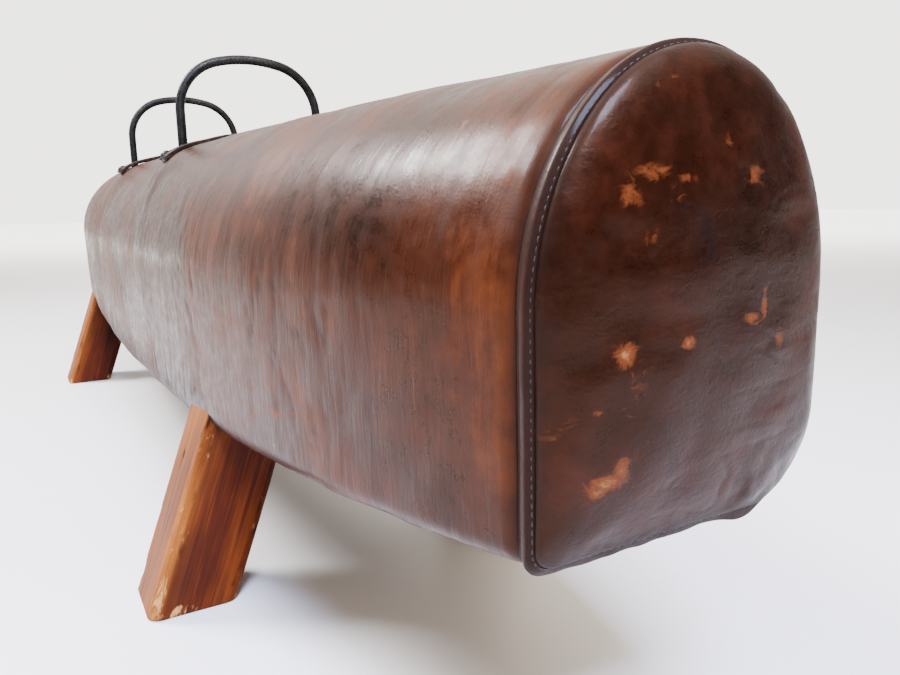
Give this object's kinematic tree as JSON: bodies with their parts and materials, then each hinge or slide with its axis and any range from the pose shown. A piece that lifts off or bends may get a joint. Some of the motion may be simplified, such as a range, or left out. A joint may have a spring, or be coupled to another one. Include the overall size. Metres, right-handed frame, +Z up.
{
  "type": "pommel horse",
  "caption": "Long padded leather-covered gymnastics horse on four short splayed wooden legs, with two arched iron handles across its back for swinging and vaulting.",
  "frame": {"origin": "on the floor, under the middle of the body", "axes": "+X along the body towards its near end, +Y across it to the right, +Z up"},
  "size_m": [1.91, 0.4248, 0.5385],
  "materials": {
    "body_leather": "worn glazed cowhide, gloss",
    "end_leather": "worn glazed cowhide, scuffed and stained",
    "seam_leather": "stitched strip, semi-gloss",
    "flap_leather": "turned-over edge of the cover, dull",
    "strap_leather": "strap leather, satin",
    "horsehair": "curled horsehair padding",
    "felt": "wool felt",
    "carcass_pine": "planed pine",
    "block_beech": "planed beech",
    "leg_wood": "varnished hardwood, worn at the edges",
    "handle_iron": "blackened iron, hand-worn",
    "tack_iron": "blued tacks",
    "fastener_steel": "plain steel, dulled"
  },
  "bodies": {
    "root": {"base_board": "carcass_pine", "belly_flap": "flap_leather", "belly_tacks": "tack_iron", "body_cover": "body_leather", "far_end_cover": "end_leather", "far_end_former": "carcass_pine", "far_end_pad": "horsehair", "far_handle": "handle_iron", "far_handle_nuts": "fastener_steel", "far_left_leg": "leg_wood", "far_leg_block": "block_beech", "far_leg_bolt": "fastener_steel", "far_leg_nut": "fastener_steel", "far_pommel_block": "block_beech", "far_right_leg": "leg_wood", "far_saddle_strap": "strap_leather", "far_seam_strip": "seam_leather", "far_strap_screws": "fastener_steel", "felt_layer": "felt", "hair_padding": "horsehair", "inner_former_1": "carcass_pine", "inner_former_2": "carcass_pine", "inner_former_3": "carcass_pine", "inner_former_4": "carcass_pine", "inner_former_5": "carcass_pine", "inner_former_6": "carcass_pine", "near_end_cover": "end_leather", "near_end_former": "carcass_pine", "near_end_pad": "horsehair", "near_handle": "handle_iron", "near_handle_nuts": "fastener_steel", "near_left_leg": "leg_wood", "near_leg_block": "block_beech", "near_leg_bolt": "fastener_steel", "near_leg_nut": "fastener_steel", "near_pommel_block": "block_beech", "near_right_leg": "leg_wood", "near_saddle_strap": "strap_leather", "near_seam_strip": "seam_leather", "near_strap_screws": "fastener_steel", "stave_01": "carcass_pine", "stave_02": "carcass_pine", "stave_03": "carcass_pine", "stave_04": "carcass_pine", "stave_05": "carcass_pine", "stave_06": "carcass_pine", "stave_07": "carcass_pine", "stave_08": "carcass_pine", "stave_09": "carcass_pine", "stave_10": "carcass_pine", "stave_11": "carcass_pine"}
  },
  "joints": []
}
